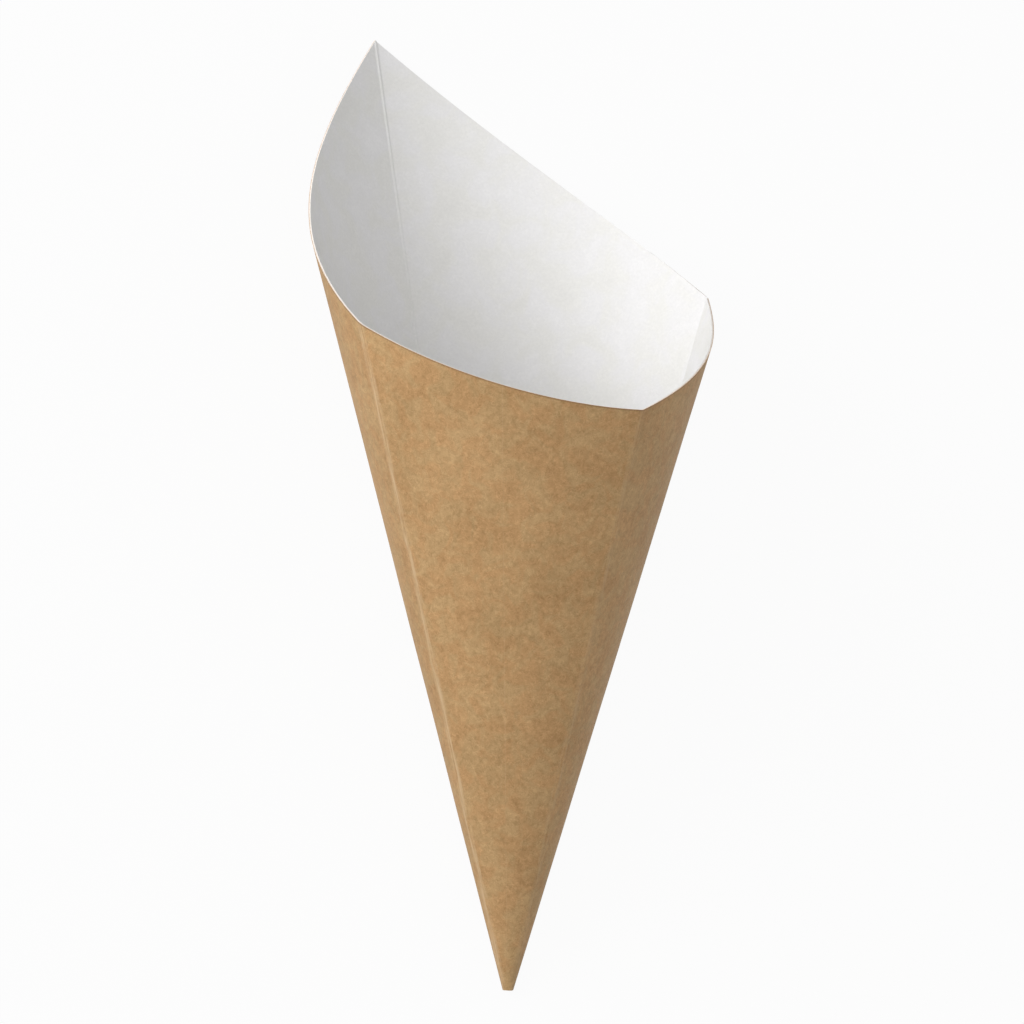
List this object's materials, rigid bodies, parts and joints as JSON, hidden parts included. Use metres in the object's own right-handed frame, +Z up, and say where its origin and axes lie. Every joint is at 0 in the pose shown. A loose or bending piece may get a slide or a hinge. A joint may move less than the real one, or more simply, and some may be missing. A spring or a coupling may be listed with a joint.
{
  "type": "paper fry cone",
  "caption": "Open four-sided cone folded from white-lined kraft board, with a tall pointed back and a low front lip, for holding fries.",
  "frame": {"origin": "centre of the bounding box's foot, on the floor that the cone lies on", "axes": "+Z up from the floor, +Y along the line of the back panel that the cone lies on, from the open mouth towards the closed point, +X across the cone"},
  "size_m": [0.1052, 0.2494, 0.0864],
  "materials": {
    "kraft_board": "uncoated kraft paperboard, white lined inside"
  },
  "bodies": {
    "root": {"folded_cone": "kraft_board"}
  },
  "joints": []
}
